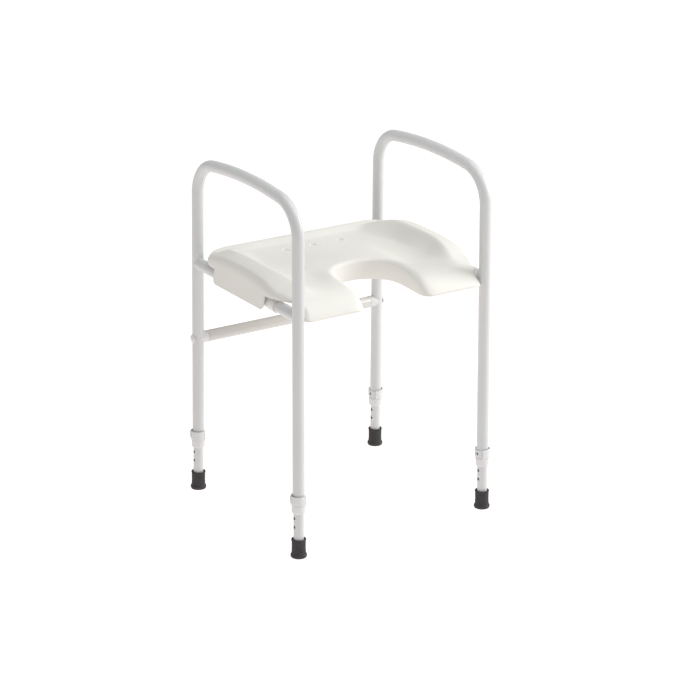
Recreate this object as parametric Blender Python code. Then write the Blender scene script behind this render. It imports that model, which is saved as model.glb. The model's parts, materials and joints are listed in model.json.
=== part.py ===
"""Raised toilet seat on a free-standing frame with bent side tubes and
height-adjustable legs. Every piece is one closed body in its own object.
Millimetres below, metres in the scene. +X is the sitter's left, +Y the back
of the seat (the cut-out opens to -Y), +Z up, floor at z = 0."""
import math
import bpy
import bmesh
from mathutils import Matrix, Vector

MM = 0.001
GAP = 0.3               # clearance left between touching pieces

# frame
FOOT_HALF_X = 235.0     # leg axes at the floor, half spacing across
FOOT_HALF_Y = 210.0     # leg axes at the floor, half spacing front to back
LEAN_X = 0.007          # legs lean in by this much per mm of height, across
LEAN_Y = 0.013          # and front to back
TUBE_R = 12.7           # one-inch tube
TUBE_WALL = 1.2
TUBE_SIDES = 16
TUBE_FOOT_Z = 102.0     # bottom end of the bent tube
ARM_TOP_Z = 764.7       # armrest centre line at its highest point
ARM_PEAK_Y = -4.0
ARCH_R = 1095.0         # radius of the gentle armrest arch
BEND_R = 76.0           # bends between the legs and the armrest
RAIL_Z = 525.0          # seat rails, centre line
BAR_Z = 354.0           # rear cross bar, centre line

# telescopic legs
PIN_Z = 127.8           # height of the locking pins
PIN_R = 3.0
HOLE_R = 3.5
HOLE_PITCH = 20.0
HOLES_BELOW = 3         # holes of the inner leg under the pinned one
HOLES_ABOVE = 3
INNER_R = 11.0
INNER_WALL = 1.2
INNER_TOP_Z = 250.0
COLLAR_R = 14.8
COLLAR_FOOT_Z = 98.5
COLLAR_TOP_Z = 136.0
CLIP_R = 16.7
CLIP_WALL = 1.6
CLIP_HEIGHT = 20.5
CLIP_WRAP = math.radians(124.0)
FERRULE_R = 15.0
FERRULE_FLANGE_R = 17.5
FERRULE_HEIGHT = 40.0
FERRULE_FLOOR = 7.0
WASHER_THICK = 1.2

# cross bar joints
BAR_END_X = 211.0
DOME_R = 9.0
DOME_HEIGHT = 3.0
PLUG_LENGTH = 22.0

# seat
SEAT_HALF_X = 251.0     # at the foot of the side skirts
SEAT_BACK_Y = 190.0
SEAT_FRONT_Y = -215.0
SEAT_CORNER_R = 75.0
SEAT_WALL = 2.8
SEAT_SKIN = 4.0
SEAT_BOTTOM_Z = 513.0   # lower edge of the front, back and cut-out walls
WING_Z = 541.5          # lower edge where the seat passes over the rails
SKIRT_Z = 510.5         # lower edge of the side skirts
SKIRT_OUT = 5.0         # the skirts slant out by this much to their foot
SKIRT_Y = (-96.0, 106.0)
CREST_X = 205.0         # ridge along each side
CREST_Z = 582.0
SHOULDER_Z = 574.0      # outer edge beside the ridges
ARCH_Y = 20.0           # where the ridges are highest
VALLEY_X = 118.0        # the bowl starts to rise outside this
BANK_FOOT_X = 165.0
DRAIN_Z = 553.0         # the dish at the drain holes
BACK_RISE = 8.0
BACK_ROLL = 16.0
SIDE_ROLL = 10.0
BACK_WALL_Z = 540.0     # heights where the upright walls turn into the top
SIDE_WALL_Z = 546.0
FRONT_WALL_Z = 516.0
FRONT_LIP = 3.5
FRONT_ROLL_Y = -120.0   # the front edge starts to roll down here
FRONT_FALL = 36.0
CUT_ROLL = 10.0
NARROW_X = 216.0        # half width of the seat between the front legs
FLARE_Y = (-196.0, -102.0)
FRONT_CORNER_R = 11.0
MOUTH_R = 18.0          # rounding of the cut-out's front corners
CUT_HALF_X = 77.0       # cut-out, half width at its widest
CUT_NECK_X = 73.5       # and at its narrowest, near the front
CUT_BACK_Y = -40.0
CUT_CENTRE_Y = -113.0
CUT_POWER = 2.1
DRAIN_R = 8.0
DRAIN_PITCH = 69.0
DRAIN_Y = 107.0
LIP_R = TUBE_R + GAP + 1.5
HOOK_ANGLES = (-70.0, 200.0)    # how far the seat clips wrap round the rails
BLOCK_X = (4.0, 1.0, -2.5, -6.0, -9.6)   # top of the clip, out to in
SEAT_CLIP_Y = {"front": (-128.0, -104.0), "rear": (58.0, 88.0)}

SIDES = {"left": -1, "right": 1}
ENDS = {"front": -1, "rear": 1}


def material(name, rgb, rough, metal=0.0):
    mat = bpy.data.materials.new(name)
    mat.use_nodes = True
    shader = mat.node_tree.nodes["Principled BSDF"]
    shader.inputs["Base Color"].default_value = (*rgb, 1.0)
    shader.inputs["Roughness"].default_value = rough
    shader.inputs["Metallic"].default_value = metal
    return mat


def add_object(name, bm, mat, origin=(0.0, 0.0, 0.0)):
    """Turn a millimetre bmesh into a metre object whose origin is given."""
    bmesh.ops.remove_doubles(bm, verts=bm.verts, dist=1e-4)
    bmesh.ops.recalc_face_normals(bm, faces=bm.faces)
    base = Vector(origin)
    for vert in bm.verts:
        vert.co = (vert.co - base) * MM
    mesh = bpy.data.meshes.new(name)
    bm.to_mesh(mesh)
    bm.free()
    mesh.materials.append(mat)
    obj = bpy.data.objects.new(name, mesh)
    obj.location = base * MM
    bpy.context.scene.collection.objects.link(obj)
    return obj


def combine(obj, tools, operation):
    """Cut the tools from the object, or join them to it, and drop them."""
    for tool in tools:
        step = obj.modifiers.new(tool.name, "BOOLEAN")
        step.operation = operation
        step.solver = "EXACT"
        step.object = tool
    graph = bpy.context.evaluated_depsgraph_get()
    result = bpy.data.meshes.new_from_object(obj.evaluated_get(graph))
    obj.modifiers.clear()
    obj.data = result
    for tool in tools:
        bpy.data.objects.remove(tool)
    return obj


def bridge(bm, loop_a, loop_b):
    """Quads between two vertex rings of the same length."""
    count = len(loop_a)
    for i in range(count):
        j = (i + 1) % count
        bm.faces.new((loop_a[i], loop_a[j], loop_b[j], loop_b[i]))


def loft(rings, closed=False):
    """A body through rings of points; open bodies get flat end caps."""
    bm = bmesh.new()
    loops = [[bm.verts.new(p) for p in ring] for ring in rings]
    for first, second in zip(loops, loops[1:]):
        bridge(bm, first, second)
    if closed:
        bridge(bm, loops[-1], loops[0])
    else:
        bm.faces.new(loops[0])
        bm.faces.new(loops[-1])
    return bm


def lathe(profile, sides, closed, place=None, turn=0.0):
    """Revolve (radius, height) points about local Z. A closed profile makes
    a ring-shaped body; an open one starts and ends on the axis."""
    bm = bmesh.new()
    loops = []
    for radius, height in profile:
        if radius < 1e-6:
            loops.append([bm.verts.new((0.0, 0.0, height))])
            continue
        ring = []
        for k in range(sides):
            angle = turn + 2.0 * math.pi * k / sides
            ring.append(bm.verts.new((radius * math.cos(angle), radius * math.sin(angle), height)))
        loops.append(ring)
    pairs = list(zip(loops, loops[1:]))
    if closed:
        pairs.append((loops[-1], loops[0]))
    for first, second in pairs:
        join_loops(bm, first, second)
    if place is not None:
        bmesh.ops.transform(bm, matrix=place, verts=bm.verts)
    return bm


def join_loops(bm, first, second):
    if len(first) == 1 or len(second) == 1:
        pole, ring = (first[0], second) if len(first) == 1 else (second[0], first)
        for i, vert in enumerate(ring):
            bm.faces.new((pole, vert, ring[(i + 1) % len(ring)]))
    else:
        bridge(bm, first, second)


def leg_axis_point(side, end, z):
    x = side * (FOOT_HALF_X - LEAN_X * z)
    y = end * (FOOT_HALF_Y - LEAN_Y * z)
    return Vector((x, y, z))


def leg_up(side, end):
    return Vector((-side * LEAN_X, -end * LEAN_Y, 1.0)).normalized()


def leg_frame(side, end, z):
    """Local X points outward from the seat, local Z up the leg."""
    up = leg_up(side, end)
    out = Vector((side, 0.0, 0.0))
    out = (out - up * out.dot(up)).normalized()
    across = up.cross(out)
    frame = Matrix((out, across, up)).transposed().to_4x4()
    frame.translation = leg_axis_point(side, end, z)
    return frame


def cylinder_tool(name, radius, length, place, sides=8):
    """A solid bar along local X, centred on the placement."""
    turn = Matrix.Rotation(math.pi / 2.0, 4, "Y")
    half = length / 2.0
    bm = lathe([(0.0, -half), (radius, -half), (radius, half), (0.0, half)], sides, False,
               place @ turn, math.pi / sides)
    return add_object(name, bm, materials["steel"])


# ---------------------------------------------------------------- frame

def fillet_centre(end):
    """Centre (y, z) of the bend that is tangent to the leg and the arch."""
    slope = math.hypot(1.0, LEAN_Y)
    arch_z = ARM_TOP_Z - ARCH_R
    reach = ARCH_R - BEND_R
    z = ARM_TOP_Z - BEND_R
    for _ in range(30):
        y = end * (FOOT_HALF_Y - LEAN_Y * z - BEND_R * slope)
        z = arch_z + math.sqrt(reach ** 2 - (y - ARM_PEAK_Y) ** 2)
    return y, z


def side_path(foot_z=TUBE_FOOT_Z, bend_steps=7, arch_steps=7):
    """Centre line (y, z) from the rear foot over the armrest to the front."""
    path = []
    centres = {end: fillet_centre(end) for end in (1, -1)}
    lean = math.atan(LEAN_Y)
    arch_z = ARM_TOP_Z - ARCH_R
    for end in (1, -1):
        cy, cz = centres[end]
        tilt = math.atan2((cy - ARM_PEAK_Y) * end, cz - arch_z)
        top = math.pi / 2.0 - tilt
        leg_side = [(end * (FOOT_HALF_Y - LEAN_Y * z), z) for z in (foot_z, RAIL_Z)]
        bend = []
        for k in range(bend_steps + 1):
            angle = lean + (top - lean) * k / bend_steps
            bend.append((cy + end * BEND_R * math.cos(angle), cz + BEND_R * math.sin(angle)))
        half = leg_side + bend
        path.append(half if end == 1 else half[::-1])
    first, last = path[0][-1], path[1][0]
    start = math.atan2(first[1] - arch_z, first[0] - ARM_PEAK_Y)
    stop = math.atan2(last[1] - arch_z, last[0] - ARM_PEAK_Y)
    arch = []
    for k in range(1, arch_steps):
        angle = start + (stop - start) * k / arch_steps
        arch.append((ARM_PEAK_Y + ARCH_R * math.cos(angle), arch_z + ARCH_R * math.sin(angle)))
    return path[0] + arch + path[1]


def tube_rings(path, side, radius, sides=TUBE_SIDES):
    """Rings of points square to a centre line that lies in a side plane."""
    points = [Vector((side * (FOOT_HALF_X - LEAN_X * z), y, z)) for y, z in path]
    plane = Vector((1.0, 0.0, side * LEAN_X)).normalized()
    rings = []
    for i, point in enumerate(points):
        before = points[max(i - 1, 0)]
        after = points[min(i + 1, len(points) - 1)]
        along = (after - before).normalized()
        normal = along.cross(plane).normalized()
        ring = []
        for k in range(sides):
            angle = 2.0 * math.pi * k / sides
            ring.append(point + plane * radius * math.cos(angle) + normal * radius * math.sin(angle))
        rings.append(ring)
    return rings


def build_side_frame(name, side):
    path = side_path()
    outer = tube_rings(path, side, TUBE_R)
    inner = tube_rings(path, side, TUBE_R - TUBE_WALL)
    obj = add_object(name, loft(outer + inner[::-1], closed=True), materials["frame"])
    tools = []
    for end in (1, -1):
        tools.append(cylinder_tool("pin_hole", HOLE_R, 40.0, leg_frame(side, end, PIN_Z)))
    tools.append(cylinder_tool("bolt_hole", HOLE_R, 40.0, leg_frame(side, 1, BAR_Z)))
    return combine(obj, tools, "DIFFERENCE")


def build_seat_rail(name, side):
    """A straight tube whose ends are shaped to the legs they meet."""
    x_axis = side * (FOOT_HALF_X - LEAN_X * RAIL_Z)
    rings = []
    for radius in (TUBE_R, TUBE_R - TUBE_WALL):
        pair = []
        for end in (-1, 1):
            ring = []
            for k in range(TUBE_SIDES):
                angle = 2.0 * math.pi * k / TUBE_SIDES
                dx = radius * math.cos(angle)
                z = RAIL_Z + radius * math.sin(angle)
                leg_y = FOOT_HALF_Y - LEAN_Y * z
                lean_dx = dx + side * LEAN_X * (z - RAIL_Z)
                reach = math.sqrt(max((TUBE_R + 2.0 * GAP) ** 2 - lean_dx ** 2, 0.0))
                ring.append((x_axis + dx, end * (leg_y - reach), z))
            pair.append(ring)
        rings += pair if radius == TUBE_R else pair[::-1]
    return add_object(name, loft(rings, closed=True), materials["frame"])


def leg_face_x(dy, clearance):
    """How far from the leg's axis its surface lies, dy off to one side."""
    return math.sqrt(max((TUBE_R + clearance) ** 2 - dy ** 2, 0.0))


def build_cross_bar():
    wall = TUBE_WALL + 0.3
    profile = [(TUBE_R, -BAR_END_X), (TUBE_R, BAR_END_X),
               (TUBE_R - wall, BAR_END_X), (TUBE_R - wall, -BAR_END_X)]
    turn = Matrix.Rotation(math.pi / 2.0, 4, "Y")
    place = Matrix.Translation((0.0, bar_y(), BAR_Z)) @ turn
    add_object("rear_cross_bar", lathe(profile, TUBE_SIDES, True, place), materials["bar"])


def bar_y():
    return FOOT_HALF_Y - LEAN_Y * BAR_Z


def leg_x(z):
    return FOOT_HALF_X - LEAN_X * z


def ring_about_bar(side, radius, x_of, sides=TUBE_SIDES):
    """A ring about the cross bar's axis; x_of(dy, dz) gives each point's |x|."""
    ring = []
    for k in range(sides):
        angle = 2.0 * math.pi * k / sides
        dy = radius * math.cos(angle)
        dz = radius * math.sin(angle)
        ring.append((side * x_of(dy, dz), bar_y() + dy, BAR_Z + dz))
    return ring


def inner_leg_face(dy, dz):
    return leg_x(BAR_Z + dz) - leg_face_x(dy, 3.0 * GAP)


def outer_leg_face(dy, dz):
    return leg_x(BAR_Z + dz) + leg_face_x(dy, 3.0 * GAP)


def build_saddle(name, side):
    """Spacer between the cross bar's end and the leg, shaped to the leg."""
    outer = TUBE_R
    bore = HOLE_R
    def bar_face(dy, dz):
        return BAR_END_X + GAP
    rings = [ring_about_bar(side, outer, bar_face), ring_about_bar(side, outer, inner_leg_face)]
    rings += [ring_about_bar(side, radius, inner_leg_face) for radius in (11.3, 9.0, 6.0, bore)]
    rings.append(ring_about_bar(side, bore, bar_face))
    add_object(name, loft(rings, closed=True), materials["clip"])


def build_bolt(name, side):
    """Domed head against the outer face of the leg, shank into the plug."""
    face = leg_x(BAR_Z) + TUBE_R + 2.0 * GAP
    tip = BAR_END_X - PLUG_LENGTH + 4.0
    def at(x):
        return lambda dy, dz: x
    rings = [ring_about_bar(side, PIN_R, at(tip), 16),
             ring_about_bar(side, PIN_R, outer_leg_face, 16),
             ring_about_bar(side, 6.5, outer_leg_face, 16),
             ring_about_bar(side, DOME_R, outer_leg_face, 16)]
    for k in range(4):
        angle = math.radians(20.0 + 20.0 * k)
        height = DOME_HEIGHT * math.sin(angle)
        rings.append(ring_about_bar(side, DOME_R * math.cos(angle), at(face + height), 16))
    add_object(name, loft(rings), materials["cap"])


def build_plug(name, side):
    """Threaded insert inside the end of the cross bar."""
    radius = TUBE_R - TUBE_WALL - 0.3 - 2.0 * GAP
    turn = Matrix.Rotation(math.pi / 2.0, 4, "Y")
    inner_x = BAR_END_X - PLUG_LENGTH
    profile = [(radius, inner_x), (radius, BAR_END_X - 1.0), (HOLE_R, BAR_END_X - 1.0), (HOLE_R, inner_x)]
    if side < 0:
        profile = [(r, -x) for r, x in profile]
    place = Matrix.Translation((0.0, bar_y(), BAR_Z)) @ turn
    add_object(name, lathe(profile, TUBE_SIDES, True, place), materials["clip"])


# ---------------------------------------------------------------- legs

def build_collar(name, side, end):
    bore = TUBE_R + 2.0 * GAP
    lip = INNER_R + 0.5
    low = COLLAR_FOOT_Z - PIN_Z
    top = COLLAR_TOP_Z - PIN_Z
    lip_top = TUBE_FOOT_Z - GAP - PIN_Z
    profile = [(COLLAR_R, low + 1.0), (COLLAR_R, top), (bore, top), (bore, lip_top),
               (lip, lip_top), (lip, low), (COLLAR_R - 1.0, low)]
    place = leg_frame(side, end, PIN_Z)
    obj = add_object(name, lathe(profile, TUBE_SIDES, True, place), materials["clip"])
    return combine(obj, [cylinder_tool("collar_hole", HOLE_R, 40.0, place)], "DIFFERENCE")


def clip_outline():
    """Plan of the C-shaped clip, with a ridged thumb pad on its outer side."""
    inner = CLIP_R - CLIP_WALL
    steps = 18
    outer_arc = []
    inner_arc = []
    for k in range(steps + 1):
        angle = -CLIP_WRAP + 2.0 * CLIP_WRAP * k / steps
        swell = 2.2 if abs(angle) < math.radians(22.0) else 0.0
        outer_arc.append(((CLIP_R + swell) * math.cos(angle), (CLIP_R + swell) * math.sin(angle)))
        inner_arc.append((inner * math.cos(angle), inner * math.sin(angle)))
    return outer_arc + inner_arc[::-1]


def build_lock_clip(name, side, end):
    """Snap clip round the collar, with the pin that locks the inner leg."""
    place = leg_frame(side, end, PIN_Z)
    half = CLIP_HEIGHT / 2.0
    rings = [[(x, y, z) for x, y in clip_outline()] for z in (-half, half)]
    bm = loft(rings)
    bmesh.ops.transform(bm, matrix=place, verts=bm.verts)
    centre = leg_axis_point(side, end, PIN_Z)
    obj = add_object(name, bm, materials["clip"], centre)
    pin_length = 12.5
    pin_place = place @ Matrix.Translation((CLIP_R - CLIP_WALL / 2.0 - pin_length / 2.0, 0.0, 0.0))
    return combine(obj, [cylinder_tool("pin", PIN_R, pin_length, pin_place)], "UNION")


def build_inner_leg(name, side, end):
    foot = FERRULE_FLOOR + WASHER_THICK + 2.0 * GAP - PIN_Z
    top = INNER_TOP_Z - PIN_Z
    bore = INNER_R - INNER_WALL
    place = leg_frame(side, end, PIN_Z)
    profile = [(INNER_R, foot), (INNER_R, top), (bore, top), (bore, foot)]
    bm = lathe(profile, TUBE_SIDES, True, place)
    obj = add_object(name, bm, materials["frame"], leg_axis_point(side, end, PIN_Z))
    tools = []
    for k in range(-HOLES_BELOW, HOLES_ABOVE + 1):
        spot = place @ Matrix.Translation((0.0, 0.0, k * HOLE_PITCH))
        tools.append(cylinder_tool("leg_hole", HOLE_R, 40.0, spot))
    return combine(obj, tools, "DIFFERENCE")


def build_ferrule(name, side, end):
    """Rubber foot, trimmed flat where it meets the floor."""
    bore = INNER_R + GAP + 0.15
    profile = [(0.0, 0.0), (FERRULE_FLANGE_R - 1.0, 0.0), (FERRULE_FLANGE_R, 1.5),
               (FERRULE_FLANGE_R, 5.0), (FERRULE_R + 0.8, 9.5), (FERRULE_R, 13.0),
               (FERRULE_R, 34.0), (FERRULE_R + 0.4, FERRULE_HEIGHT - 2.0),
               (FERRULE_R - 0.2, FERRULE_HEIGHT), (bore + 1.6, FERRULE_HEIGHT),
               (bore, FERRULE_HEIGHT - 4.0), (bore, FERRULE_FLOOR), (0.0, FERRULE_FLOOR)]
    bm = lathe(profile, TUBE_SIDES, False, leg_frame(side, end, 0.0))
    for vert in bm.verts:
        if vert.co.z < 0.8:
            vert.co.z = 0.0
    add_object(name, bm, materials["rubber"], leg_axis_point(side, end, PIN_Z))


def build_washer(name, side, end):
    """Steel disc that keeps the tube's end from cutting through the rubber."""
    low = FERRULE_FLOOR + GAP
    radius = INNER_R - 0.5
    profile = [(radius, low), (radius, low + WASHER_THICK), (4.0, low + WASHER_THICK), (4.0, low)]
    bm = lathe(profile, TUBE_SIDES, True, leg_frame(side, end, 0.0))
    add_object(name, bm, materials["steel"], leg_axis_point(side, end, PIN_Z))


# ---------------------------------------------------------------- seat

def smooth(t):
    t = min(max(t, 0.0), 1.0)
    return t * t * (3.0 - 2.0 * t)


def rim_half_width(y):
    """Half width of the seat ahead of its back corners, above the skirts."""
    flare = smooth((y - FLARE_Y[0]) / (FLARE_Y[1] - FLARE_Y[0]))
    return NARROW_X + (SEAT_HALF_X - SKIRT_OUT - NARROW_X) * flare


def rim_path():
    """Right half of the seat's rim in plan, front corner to the back centre."""
    ys = [SEAT_FRONT_Y + step for step in (0.0, 3.0, 10.0, 20.0, 30.0)]
    ys += [-170.0, -155.0, -141.0, -128.0, -114.0]
    low, high = SKIRT_Y
    ys += [low - 3.0, low, low + 3.0, low + 10.0, -48.0, -12.0, 24.0, 60.0]
    ys += [high - 10.0, high - 3.0, high, high + 3.0]
    straight = [(rim_half_width(y), y) for y in ys]
    centre_x = SEAT_HALF_X - SKIRT_OUT - SEAT_CORNER_R
    centre_y = SEAT_BACK_Y - SEAT_CORNER_R
    back = []
    for k in range(8):
        angle = math.radians(2.0 + 88.0 * k / 7.0)
        back.append((centre_x + SEAT_CORNER_R * math.cos(angle),
                     centre_y + SEAT_CORNER_R * math.sin(angle)))
    rear = [(centre_x * (1.0 - k / 5.0), SEAT_BACK_Y) for k in range(1, 6)]
    return straight + back + rear


def cut_point(t):
    """Edge of the cut-out in plan; t runs from 0 at the front to 1 at the
    back centre."""
    along_side = 0.36
    if t < along_side:
        s = t / along_side
        x = CUT_NECK_X + (CUT_HALF_X - CUT_NECK_X) * smooth((s - 0.2) / 0.8)
        return x, SEAT_FRONT_Y + (CUT_CENTRE_Y - SEAT_FRONT_Y) * s
    angle = (t - along_side) / (1.0 - along_side) * math.pi / 2.0
    power = 2.0 / CUT_POWER
    x = CUT_HALF_X * max(math.cos(angle), 0.0) ** power
    y = CUT_CENTRE_Y + (CUT_BACK_Y - CUT_CENTRE_Y) * math.sin(angle) ** power
    return x, y


def corner_inset(distance, radius):
    """How far a rounded plan corner cuts in, at a distance from the front."""
    s = max(radius - distance, 0.0)
    return radius - math.sqrt(max(radius * radius - s * s, 0.0))


def inset(points, distance):
    """Move plan points to the left of their direction of travel."""
    moved = []
    for i, (x, y) in enumerate(points):
        ax, ay = points[max(i - 1, 0)]
        bx, by = points[min(i + 1, len(points) - 1)]
        length = math.hypot(bx - ax, by - ay)
        moved.append((x - (by - ay) / length * distance, y + (bx - ax) / length * distance))
    moved[-1] = (0.0, moved[-1][1])
    return moved


def path_fractions(points):
    total = [0.0]
    for (ax, ay), (bx, by) in zip(points, points[1:]):
        total.append(total[-1] + math.hypot(bx - ax, by - ay))
    return [value / total[-1] for value in total]


def crest_x(y):
    """Half spacing of the two ridges, which draw together at both ends."""
    return CREST_X - 10.0 * smooth((-70.0 - y) / 80.0) - 32.0 * smooth((y - 95.0) / 85.0)


def arch(y):
    """Shape of the ridges along the seat: flat in the middle, then falling."""
    return (max(ARCH_Y - y, 1.05 * (y - ARCH_Y)) / 89.0) ** 3


def dish_height(x, y):
    """The hollow of the seat: a little higher round the cut-out and the back."""
    beside_cut = 4.0 * smooth((DRAIN_Y - y) / 130.0) - 4.0 * smooth((-100.0 - y) / 60.0)
    hollow = -3.0 * smooth((-20.0 - y) / 60.0) + FRONT_LIP * smooth((-78.0 - y) / 50.0)
    share = smooth((x - CUT_HALF_X) / (VALLEY_X - CUT_HALF_X))
    return DRAIN_Z + beside_cut + (hollow - beside_cut) * share + BACK_RISE * smooth((y - 138.0) / 38.0)


def ridge_rise(x, y):
    """Share of the climb from the dish to the ridge: a crisp bank at the
    back that fades into a soft bowl towards the front."""
    top = crest_x(y)
    soft = max(x - VALLEY_X, 0.0) / (top - VALLEY_X)
    foot = BANK_FOOT_X - 24.0 * smooth((y - 30.0) / 90.0)
    bank = max(x - foot, 0.0) / (top - foot)
    share = 0.75 * smooth((y + 80.0) / 120.0)
    return min(soft, 1.0) ** 2.7 * (1.0 - share) + min(bank, 1.0) ** 1.15 * share


def top_height(x, y):
    """The seat's upper face before its edges are rolled over."""
    x = abs(x)
    low = dish_height(x, y)
    crest = crest_x(y)
    ridge = max(CREST_Z - 5.3 * arch(y) - low, 0.0)
    if x > crest:
        shoulder = max(SHOULDER_Z - 4.5 * arch(y) - low, -2.0)
        share = (x - crest) / (rim_half_width(y) - crest)
        height = low + ridge + (shoulder - ridge) * min(share, 1.0)
    else:
        height = low + ridge * ridge_rise(x, y)
    front = max(FRONT_ROLL_Y - y, 0.0) / (FRONT_ROLL_Y - SEAT_FRONT_Y)
    return height - FRONT_FALL * min(front, 1.0) ** 3.6


def edge_fall(distance, width, depth):
    """Quarter-ellipse fall over the last stretch before an edge."""
    if distance >= width:
        return 0.0
    s = 1.0 - max(distance, 0.0) / width
    return depth * (1.0 - math.sqrt(max(1.0 - s * s, 0.0)))


def rim_roll(x, y):
    """Width of the roll at the rim and the height where it turns upright."""
    side = smooth((abs(x) - 150.0) / 70.0)
    front = smooth((-155.0 - y) / 45.0)
    wall = BACK_WALL_Z + (SIDE_WALL_Z - BACK_WALL_Z) * side
    return BACK_ROLL + (SIDE_ROLL - BACK_ROLL) * side, wall + (FRONT_WALL_Z - wall) * front


def skin_height(x, y, from_cut, from_rim, roll):
    width, wall = roll
    height = top_height(x, y)
    cut_roll = CUT_ROLL + 10.0 * smooth((-60.0 - y) / 120.0)
    height -= edge_fall(from_cut, cut_roll, min(0.9 * cut_roll, height - FRONT_WALL_Z))
    return height - edge_fall(from_rim, width, max(height - wall, 0.0))


def lower_edge(x, y):
    """Outward step and height of the outer wall's lower edge at the rim."""
    low, high = SKIRT_Y
    if low <= y <= high and x > CREST_X:
        height = SKIRT_Z + max(0.0, 9.0 - min(y - low, high - y)) * 0.8
        return SKIRT_OUT * (SIDE_WALL_Z - height) / (SIDE_WALL_Z - SKIRT_Z), height
    return 0.0, WING_Z if x > NARROW_X + 0.5 else SEAT_BOTTOM_Z


def row_distances(width):
    """Where the points of one row lie, from the cut-out to the rim."""
    scale = min(1.0, width / 125.0)
    near = [step * scale for step in (0.0, 2.0, 6.5, 15.0)]
    far = [width - step * scale for step in (56.0, 43.0, 34.0, 22.0, 10.0, 4.5, 1.2, 0.0)]
    middle = (near[-1] + far[0]) / 2.0
    return near + [middle] + far


def seat_rows(shrink, drop):
    """Half of one skin of the seat, front to back. Each row runs from the
    cut-out to the rim; its ends and the whole first row are lower edges."""
    rim = rim_path()
    edges = [lower_edge(x, y) for x, y in rim]
    cut = [cut_point(t) for t in path_fractions(rim)]
    rim = [(x - corner_inset(y - SEAT_FRONT_Y, FRONT_CORNER_R), y) for x, y in rim]
    cut = [(x + corner_inset(y - SEAT_FRONT_Y, MOUTH_R), y) for x, y in cut]
    rim = inset(rim, shrink)
    cut = inset(cut, -shrink)
    result = []
    for (ax, ay), (bx, by), (out, low) in zip(cut, rim, edges):
        width = math.hypot(bx - ax, by - ay)
        roll, wall = rim_roll(bx, by)
        edge = roll, max(wall, low + 3.0)
        strip = [(ax, max(ay, SEAT_FRONT_Y + shrink), SEAT_BOTTOM_Z)]
        for along in row_distances(width):
            x = ax + (bx - ax) * along / width
            y = max(ay + (by - ay) * along / width, SEAT_FRONT_Y + shrink)
            z = skin_height(x, y, along, width - along, edge) - drop
            strip.append((x, y, max(z, SEAT_BOTTOM_Z + 1.0)))
        strip.append((bx + out, max(by, SEAT_FRONT_Y + shrink), low))
        result.append(strip)
    front = [(x, y, SEAT_BOTTOM_Z) for x, y, z in result[0]]
    return [front] + result


def whole_rows(half):
    """Mirror the half and run from the left front to the right front."""
    mirrored = [[(-x, y, z) for x, y, z in row] for row in half]
    return mirrored + half[-2::-1]


def add_skin(bm, rows):
    grid = [[bm.verts.new(p) for p in row] for row in rows]
    for first, second in zip(grid, grid[1:]):
        for i in range(len(first) - 1):
            bm.faces.new((first[i], first[i + 1], second[i + 1], second[i]))
    border = grid[0] + [row[-1] for row in grid[1:-1]] + grid[-1][::-1]
    return border + [row[0] for row in grid[-2:0:-1]]


def build_seat():
    bm = bmesh.new()
    outer = add_skin(bm, whole_rows(seat_rows(0.0, 0.0)))
    inner = add_skin(bm, whole_rows(seat_rows(SEAT_WALL, SEAT_SKIN)))
    bridge(bm, outer, inner)
    seat = add_object("seat", bm, materials["seat"])
    tools = []
    for k in (-1, 0, 1):
        place = Matrix.Translation((k * DRAIN_PITCH, DRAIN_Y, DRAIN_Z))
        upright = place @ Matrix.Rotation(math.pi / 2.0, 4, "Y")
        tools.append(cylinder_tool("drain", DRAIN_R, 30.0, upright))
    return combine(seat, tools, "DIFFERENCE")


def seat_underside(x, y):
    rim = rim_half_width(y)
    return skin_height(x, y, 99.0, rim - SEAT_WALL - abs(x), rim_roll(rim, y)) - SEAT_SKIN - 3.5


def build_seat_clip(name, side, span):
    """Block under the seat with a hook that snaps round the rail."""
    axis_x = FOOT_HALF_X - LEAN_X * RAIL_Z
    bore = TUBE_R + GAP
    near = math.degrees(math.acos(BLOCK_X[0] / LIP_R))
    beyond = math.degrees(math.acos(BLOCK_X[-1] / LIP_R))
    low, high = HOOK_ANGLES
    outer = [low + (near - low) * k / 6.0 for k in range(7)]
    far = [beyond + (high - beyond) * k / 5.0 for k in range(6)]
    back = [high + (low - high) * k / 14.0 for k in range(15)]
    rings = []
    for y in span:
        ring = [polar(LIP_R, angle) for angle in outer]
        for dx in BLOCK_X:
            ring.append((dx, seat_underside(axis_x + dx, y) - RAIL_Z))
        ring += [polar(LIP_R, angle) for angle in far]
        ring += [polar(bore, angle) for angle in back]
        rings.append([(side * (axis_x + dx), y, RAIL_Z + dz) for dx, dz in ring])
    add_object(name, loft(rings), materials["seat"])


def polar(radius, degrees):
    return radius * math.cos(math.radians(degrees)), radius * math.sin(math.radians(degrees))


# ---------------------------------------------------------------- assembly

def clear_scene():
    for obj in list(bpy.data.objects):
        bpy.data.objects.remove(obj, do_unlink=True)


def build_side(word, side):
    build_side_frame(word + "_side_frame", side)
    build_seat_rail(word + "_seat_rail", side)
    build_saddle(word + "_bar_saddle", side)
    build_bolt(word + "_bar_bolt", side)
    build_plug(word + "_bar_plug", side)
    for place, end in ENDS.items():
        label = place + "_" + word
        build_collar(label + "_leg_collar", side, end)
        build_lock_clip(label + "_lock_clip", side, end)
        build_inner_leg(label + "_inner_leg", side, end)
        build_ferrule(label + "_ferrule", side, end)
        build_washer(label + "_ferrule_washer", side, end)
        build_seat_clip(label + "_seat_clip", side, SEAT_CLIP_Y[place])


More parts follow.
